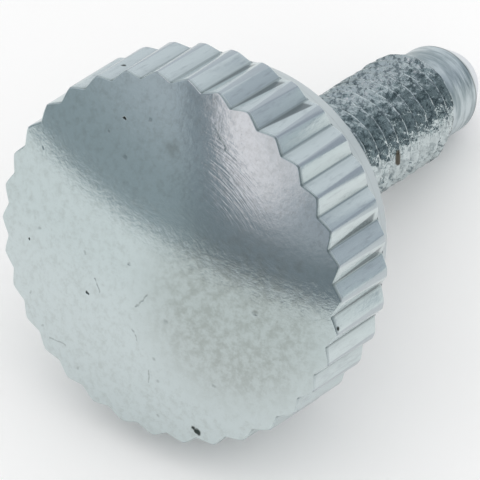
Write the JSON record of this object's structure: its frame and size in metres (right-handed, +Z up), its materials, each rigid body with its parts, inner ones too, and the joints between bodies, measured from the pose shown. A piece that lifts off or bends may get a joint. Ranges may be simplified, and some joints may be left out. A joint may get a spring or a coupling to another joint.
{
  "type": "knurled thumb screw",
  "caption": "Zinc-plated knurled thumb screw with a domed face, a tapered head underside, a metric thread and a plain rounded pilot point.",
  "frame": {"origin": "centre of the bounding box in plan, on the floor the screw lies on", "axes": "+X along the length of the lying screw towards its point, +Z up, screw axis in the XZ plane and tilted 18.5 degrees down towards +X"},
  "size_m": [0.0306, 0.0196, 0.0199],
  "materials": {
    "zinc_plated_steel": "turned steel with clear bright zinc plating, slightly bluish"
  },
  "bodies": {
    "root": {"thumb_screw": "zinc_plated_steel"}
  },
  "joints": []
}
